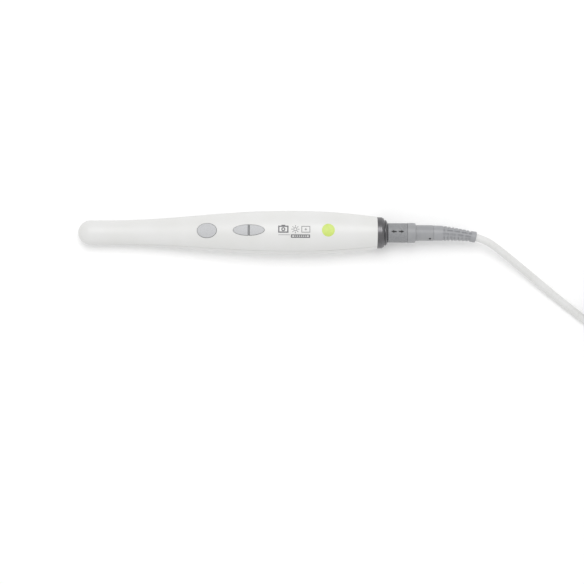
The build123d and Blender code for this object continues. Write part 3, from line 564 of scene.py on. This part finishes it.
knurl_start, knurl_end = SLEEVE_START + SLEEVE_EDGE, SLEEVE_END - SLEEVE_EDGE
knurl_step = (knurl_end - knurl_start) / KNURL_ALONG
sleeve_profile = [(SLEEVE_START, SLEEVE_BORE)]
sleeve_profile += [(SLEEVE_START + along, SLEEVE_RADIUS - below) for along, below in SHOULDER]
sleeve_profile += [(knurl_start + i * knurl_step, KNURL_CREST) for i in range(KNURL_ALONG + 1)]
sleeve_profile += [(SLEEVE_END - along, SLEEVE_RADIUS - below)
                   for along, below in reversed(SHOULDER)]
sleeve_profile += [(SLEEVE_END, SLEEVE_BORE), (SLEEVE_START, SLEEVE_BORE)]
sleeve = turned("knurled_sleeve", sleeve_profile, KNURL_ROUND)


def in_knurl_valley(place, normal):
    """Every other point of the sleeve's face, as on a chessboard."""
    if off_axis(place) < KNURL_CREST - 0.01:
        return False
    along = round((place.x / MM - knurl_start) / knurl_step)
    round_it = round(math.atan2(place.y, place.z - AXIS_Z * MM) / (2 * math.pi) * KNURL_ROUND)
    return 0 < along < KNURL_ALONG and (along + round_it) % 2 == 1


only(sleeve)
bpy.ops.object.mode_set(mode="EDIT")
choose(sleeve, "VERT", in_knurl_valley)
bpy.ops.transform.shrink_fatten(value=-KNURL_DEPTH * MM)
bpy.ops.object.mode_set(mode="OBJECT")
bpy.ops.object.shade_smooth_by_angle(angle=SMOOTH)
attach(sleeve, "release_collar")
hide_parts("release_sleeve")

# Clear-anodised aluminium: mid grey and satin, with the knurl's light and shade painted into its
# colour as a speckle of darker and lighter grey, drawn at 0.55 mm, coarser than the real knurl, so
# that it shows.
grip, tree, shader = new_material("grey_anodised_knurl", "8f9092", 0.5)
drive(tree, shader, "Base Color", noise(tree, 0.55, detail=2.0), "838487", "9c9d9f",
      ends=(0.38, 0.62))
drive(tree, shader, "Roughness", noise(tree, 0.4), 0.4, 0.55)
relief(tree, shader, noise(tree, 0.25), 0.02)
dress(grip, sleeve)


ARROW_RADIUS = 1.3            # of the circle round the arrowhead
ARROW_TIPS = (73.5, 81.9)
ARROW_LIFT = 0.07             # ink over the knurl's crests


def arrow(tip_x, way):
    """A printed arrowhead with a short tail, lying along the sleeve."""
    bpy.ops.mesh.primitive_circle_add(vertices=3, radius=ARROW_RADIUS * MM,
                                      fill_type="NGON",
                                      location=Vector((tip_x - way * ARROW_RADIUS, 0,
                                                       DRAWN_AT)) * MM,
                                      rotation=(0, 0, -way * math.pi / 2))
    head = bpy.context.object
    head.scale = (0.85, 1.0, 1)
    bpy.ops.object.mode_set(mode="EDIT")
    bpy.ops.mesh.poke()
    bpy.ops.mesh.subdivide(number_cuts=3)
    bpy.ops.object.mode_set(mode="OBJECT")
    return [head, flat_bar(tip_x - way * 2 * ARROW_RADIUS, 0, 1.8, 0.85)]


arrows = printed("arrow_prints", arrow(ARROW_TIPS[0], -1) + arrow(ARROW_TIPS[1], 1),
                 nodes["release_sleeve"], lift=ARROW_LIFT)
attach(arrows, "release_collar")
black_ink, tree, shader = new_material("black_pad_ink", "161617", 0.5)
drive(tree, shader, "Roughness", noise(tree, 0.5), 0.42, 0.58)
dress(black_ink, arrows)

# ---------------------------------------------------------------- end ring and backshell
# A plain ring and the plug's backshell, both turned from aluminium and bead blasted, with the
# sleeve sliding over the shell's front.
# Grey anodised aluminium: satin, even.
satin, tree, shader = new_material("grey_anodised_aluminium", "98999b", 0.38)
fine_turning = noise(tree, 0.35, stretch=(1, 0.04, 0.04))
drive(tree, shader, "Base Color", noise(tree, 6.0), "96979a", "9b9c9e")
drive(tree, shader, "Roughness", fine_turning, 0.3, 0.44)
relief(tree, shader, fine_turning, 0.006)
dress(satin, "sleeve_end_ring", "backshell")

# ---------------------------------------------------------------- clamp screw
# A slotted grub screw through the backshell's side presses on the brass cable clamp.
SCREW_X = 98.74
SCREW_ANGLE = math.radians(55.0)   # from the top towards -Y
SCREW_RADIUS = 0.8
SLOT_WIDTH, SLOT_CUT = 0.26, 0.45   # the screwdriver slot and its depth
outward = Vector((0, -math.sin(SCREW_ANGLE), math.cos(SCREW_ANGLE)))
SCREW_TOP, SCREW_DEEP = 5.0, 1.5    # from the connector's axis to its face; its length
bpy.ops.mesh.primitive_cylinder_add(
    vertices=32, radius=SCREW_RADIUS * MM, depth=SCREW_DEEP * MM,
    location=Vector((SCREW_X, 0, AXIS_Z)) * MM + outward * (SCREW_TOP - SCREW_DEEP / 2) * MM,
    rotation=outward.to_track_quat("Z", "X").to_euler())
screw = bpy.context.object
slot_across = Vector((1, 0, 0))
screw_head = Vector((SCREW_X, 0, AXIS_Z)) * MM + outward * SCREW_TOP * MM
bpy.ops.object.mode_set(mode="EDIT")
for side in (-1, 1):
    bpy.ops.mesh.select_all(action="SELECT")
    bpy.ops.mesh.bisect(plane_co=screw_head + slot_across * side * SLOT_WIDTH / 2 * MM,
                        plane_no=slot_across)
bpy.ops.object.mode_set(mode="OBJECT")
settle(screw, "slotted_clamp_screw")
bpy.ops.object.mode_set(mode="EDIT")
choose(screw, "FACE", lambda middle, normal: normal.dot(outward) > 0.9
       and abs(middle.x - SCREW_X * MM) < SLOT_WIDTH / 2 * MM)
bpy.ops.mesh.extrude_region_move(TRANSFORM_OT_translate={"value": -outward * SLOT_CUT * MM})
bpy.ops.object.mode_set(mode="OBJECT")
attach(screw, "cable_plug")
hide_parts("clamp_screw")
# Blackened steel: nearly black with a worn satin.
blackened, tree, shader = new_material("blackened_steel", "4a4a4c", 0.4, metallic=0.9)
drive(tree, shader, "Roughness", noise(tree, 0.3), 0.32, 0.5)
dress(blackened, screw)

# ---------------------------------------------------------------- boot
# The strain relief is moulded in soft grey PVC on the lead. It tapers, is smooth where it leaves
# the backshell and then cut by staggered slots so that it bends evenly, with a plain end.
BOOT_START = 100.84
BOOT_LENGTH = 28.0
BOOT_TURN = math.radians(11.0)
BOOT_CURVE = BOOT_LENGTH / BOOT_TURN
BOOT_ROWS = 56
BOOT_ROUND = 64
BOOT_BORE = 2.55
BOOT_END_STEP = 0.25          # the end faces are smaller than the boot by this
boot_radii = [(0.0, 4.95), (6.0, 4.9), (15.0, 4.15), (23.5, 3.55), (28.0, 3.6)]
SLOTS_FROM, SLOTS_TO = 6.4, 25.2
SLOT_PITCH = 2.4
SLOT_SHARE = 0.45             # slot's share of the pitch
SLOT_DEPTH = 0.5
SIDE_SLOTS_FROM = 34          # degrees from the top or the bottom to the slots round the sides
TOP_LANE = (8, 20)            # degrees from the top or the bottom across a short slot
TOP_SHARE = 0.72              # a short slot's share of two pitches


def boot_radius(along):
    """The boot's outside radius at a distance from its start, all in millimetres."""
    for (a, radius_a), (b, radius_b) in zip(boot_radii, boot_radii[1:]):
        if along <= b:
            return radius_a + (radius_b - radius_a) * max(along - a, 0) / (b - a)
    return boot_radii[-1][1]


def boot_middle(along):
    """The centre of the boot's section at a distance from its start."""
    turn = along / BOOT_CURVE
    return Vector((BOOT_START + BOOT_CURVE * math.sin(turn), -BOOT_CURVE * (1 - math.cos(turn)),
                   AXIS_Z)) * MM


def boot_place(place):
    """Distance along the boot and angle round it, 0 at the top and 90 towards +Y."""
    across = place - Vector((BOOT_START, -BOOT_CURVE, AXIS_Z)) * MM
    turn = math.atan2(across.x, across.y)
    outside = math.hypot(across.x, across.y) - BOOT_CURVE * MM
    return turn * BOOT_CURVE, math.degrees(math.atan2(outside, across.z))


bpy.ops.mesh.primitive_circle_add(vertices=BOOT_ROUND, radius=1 * MM, location=boot_middle(0),
                                  rotation=(0, math.pi / 2, 0))
boot = bpy.context.object
settle(boot, "ribbed_boot")
bpy.ops.object.mode_set(mode="EDIT")
bpy.ops.mesh.select_all(action="SELECT")
bpy.ops.mesh.spin(steps=BOOT_ROWS, angle=BOOT_TURN, axis=(0, 0, 1),
                  center=Vector((BOOT_START, -BOOT_CURVE, AXIS_Z)) * MM)
for row in range(BOOT_ROWS + 1):
    along = row * BOOT_LENGTH / BOOT_ROWS
    choose(boot, "VERT", lambda place, normal: abs(boot_place(place)[0] - along) < 0.05)
    radius = boot_radius(along) - (BOOT_END_STEP if row in (0, BOOT_ROWS) else 0.0)
    bpy.ops.transform.resize(value=(radius, radius, radius), center_override=boot_middle(along))


def in_slot(middle, normal):
    """Slots round the two sides, and short ones along the top and the bottom, by turns."""
    along, angle = boot_place(middle)
    if not SLOTS_FROM < along < SLOTS_TO:
        return False
    from_top = min(abs(angle), 180 - abs(angle))
    pitches = (along - SLOTS_FROM) / SLOT_PITCH
    if from_top > SIDE_SLOTS_FROM:
        return pitches % 1 < SLOT_SHARE
    stagger = 0.5 if angle % 180 < 90 else 0.0
    return (TOP_LANE[0] < from_top < TOP_LANE[1]
            and (pitches / 2 + stagger) % 1 < TOP_SHARE)


bpy.ops.mesh.select_all(action="SELECT")
bpy.ops.mesh.normals_make_consistent(inside=False)
choose(boot, "FACE", in_slot)
bpy.ops.mesh.extrude_region_shrink_fatten(
    TRANSFORM_OT_shrink_fatten={"value": -SLOT_DEPTH * MM})
for along in (0, BOOT_LENGTH):
    choose(boot, "VERT", lambda place, normal: abs(boot_place(place)[0] - along) < 0.05)
    bpy.ops.mesh.extrude_region()
    bore = BOOT_BORE / (boot_radius(along) - BOOT_END_STEP)
    bpy.ops.transform.resize(value=(bore, bore, bore), center_override=boot_middle(along))
bpy.ops.mesh.select_all(action="SELECT")
bpy.ops.mesh.normals_make_consistent(inside=False)
bpy.ops.object.mode_set(mode="OBJECT")
only(boot)
bpy.ops.object.shade_smooth_by_angle(angle=SMOOTH)
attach(boot, "cable_plug")
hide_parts("strain_relief")

# Plasticised PVC: mid grey, satin, with the mould's fine grain.
pvc_grey, tree, shader = new_material("soft_grey_pvc", "9e9fa2", 0.32)
drive(tree, shader, "Base Color", noise(tree, 5.0), "9b9c9f", "a0a1a4")
drive(tree, shader, "Roughness", noise(tree, 0.8), 0.27, 0.36)
relief(tree, shader, noise(tree, 0.4), 0.006)
dress(pvc_grey, boot)

# ---------------------------------------------------------------- USB plug
# A type A plug: a folded nickel-plated steel shell round a white tongue with gold contacts,
# moulded over in white PVC with a finger recess on each face and a tapered neck.
shell_low, shell_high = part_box("usb_shell")
shell_middle = (shell_low + shell_high) / 2
LATCH_HOLE = 2.3              # the two square holes in each face that the socket's springs hold
LATCH_X, LATCH_FROM_MOUTH = 2.6, 5.2
USB_SHEET = 0.3
bpy.ops.mesh.primitive_cube_add(size=1.0, location=shell_middle)
usb_tube = bpy.context.object
usb_tube.scale = shell_high - shell_low
settle(usb_tube, "usb_tube")
bpy.ops.object.mode_set(mode="EDIT")
choose(usb_tube, "FACE", lambda middle, normal: abs(normal.y) > 0.9)
bpy.ops.mesh.delete(type="FACE")
hole_y = shell_high.y - LATCH_FROM_MOUTH * MM
cuts = [(shell_middle.x + (side * LATCH_X + edge * LATCH_HOLE / 2) * MM, (1, 0, 0))
        for side in (-1, 1) for edge in (-1, 1)]
cuts += [(hole_y + edge * LATCH_HOLE / 2 * MM, (0, 1, 0)) for edge in (-1, 1)]
for plane, across in cuts:
    bpy.ops.mesh.select_all(action="SELECT")
    bpy.ops.mesh.bisect(plane_co=Vector(across) * plane, plane_no=across)
choose(usb_tube, "FACE", lambda middle, normal: abs(normal.z) > 0.9
       and abs(middle.y - hole_y) < LATCH_HOLE / 2 * MM
       and abs(abs(middle.x - shell_middle.x) - LATCH_X * MM) < LATCH_HOLE / 2 * MM)
bpy.ops.mesh.delete(type="FACE")
choose(usb_tube, "FACE", lambda middle, normal: True)
bpy.ops.mesh.normals_make_consistent(inside=False)
bpy.ops.object.mode_set(mode="OBJECT")
sheet = usb_tube.modifiers.new("sheet", "SOLIDIFY")
sheet.thickness = USB_SHEET * MM
bpy.ops.object.modifier_apply(modifier="sheet")
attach(usb_tube, "cable_plug")
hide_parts("usb_shell")
dress(nickel, usb_tube)

# Moulded PBT: white, satin.
tongue_white, tree, shader = new_material("moulded_white_pbt", "e9e9e6", 0.4)
drive(tree, shader, "Roughness", noise(tree, 0.6), 0.34, 0.46)
dress(tongue_white, "usb_tongue")

GRIP_EDGE = 1.6               # rounding of the grip's edges
RECESS_INSET = 1.6            # from the rounding to the finger recess
RECESS_DEPTH = 0.4
usb_low, usb_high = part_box("usb_overmould")
usb_middle = (usb_low + usb_high) / 2
bpy.ops.mesh.primitive_cube_add(size=1.0, location=usb_middle)
overmould = bpy.context.object
overmould.scale = usb_high - usb_low
settle(overmould, "usb_grip")
bpy.ops.object.mode_set(mode="EDIT")
bpy.ops.mesh.select_all(action="SELECT")
bpy.ops.mesh.bevel(offset=GRIP_EDGE * MM, segments=5, affect="EDGES")
for way in (-1, 1):
    choose(overmould, "FACE", lambda middle, normal: normal.z * way > 0.99)
    bpy.ops.mesh.inset(thickness=RECESS_INSET * MM)
    bpy.ops.mesh.inset(thickness=RECESS_DEPTH * MM, depth=-RECESS_DEPTH * MM)
bpy.ops.object.mode_set(mode="OBJECT")
bpy.ops.object.shade_smooth_by_angle(angle=SMOOTH)
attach(overmould, "cable_plug")
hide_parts("usb_overmould")

# Moulded PVC: white, satin, with the mould's fine grain.
plug_pvc, tree, shader = new_material("moulded_white_pvc", "ecece9", 0.42)
drive(tree, shader, "Base Color", noise(tree, 8.0), "ecece9", "e7e7e4")
drive(tree, shader, "Roughness", noise(tree, 0.8), 0.36, 0.5)
relief(tree, shader, noise(tree, 0.4), 0.015)
dress(plug_pvc, overmould, "usb_strain_relief")
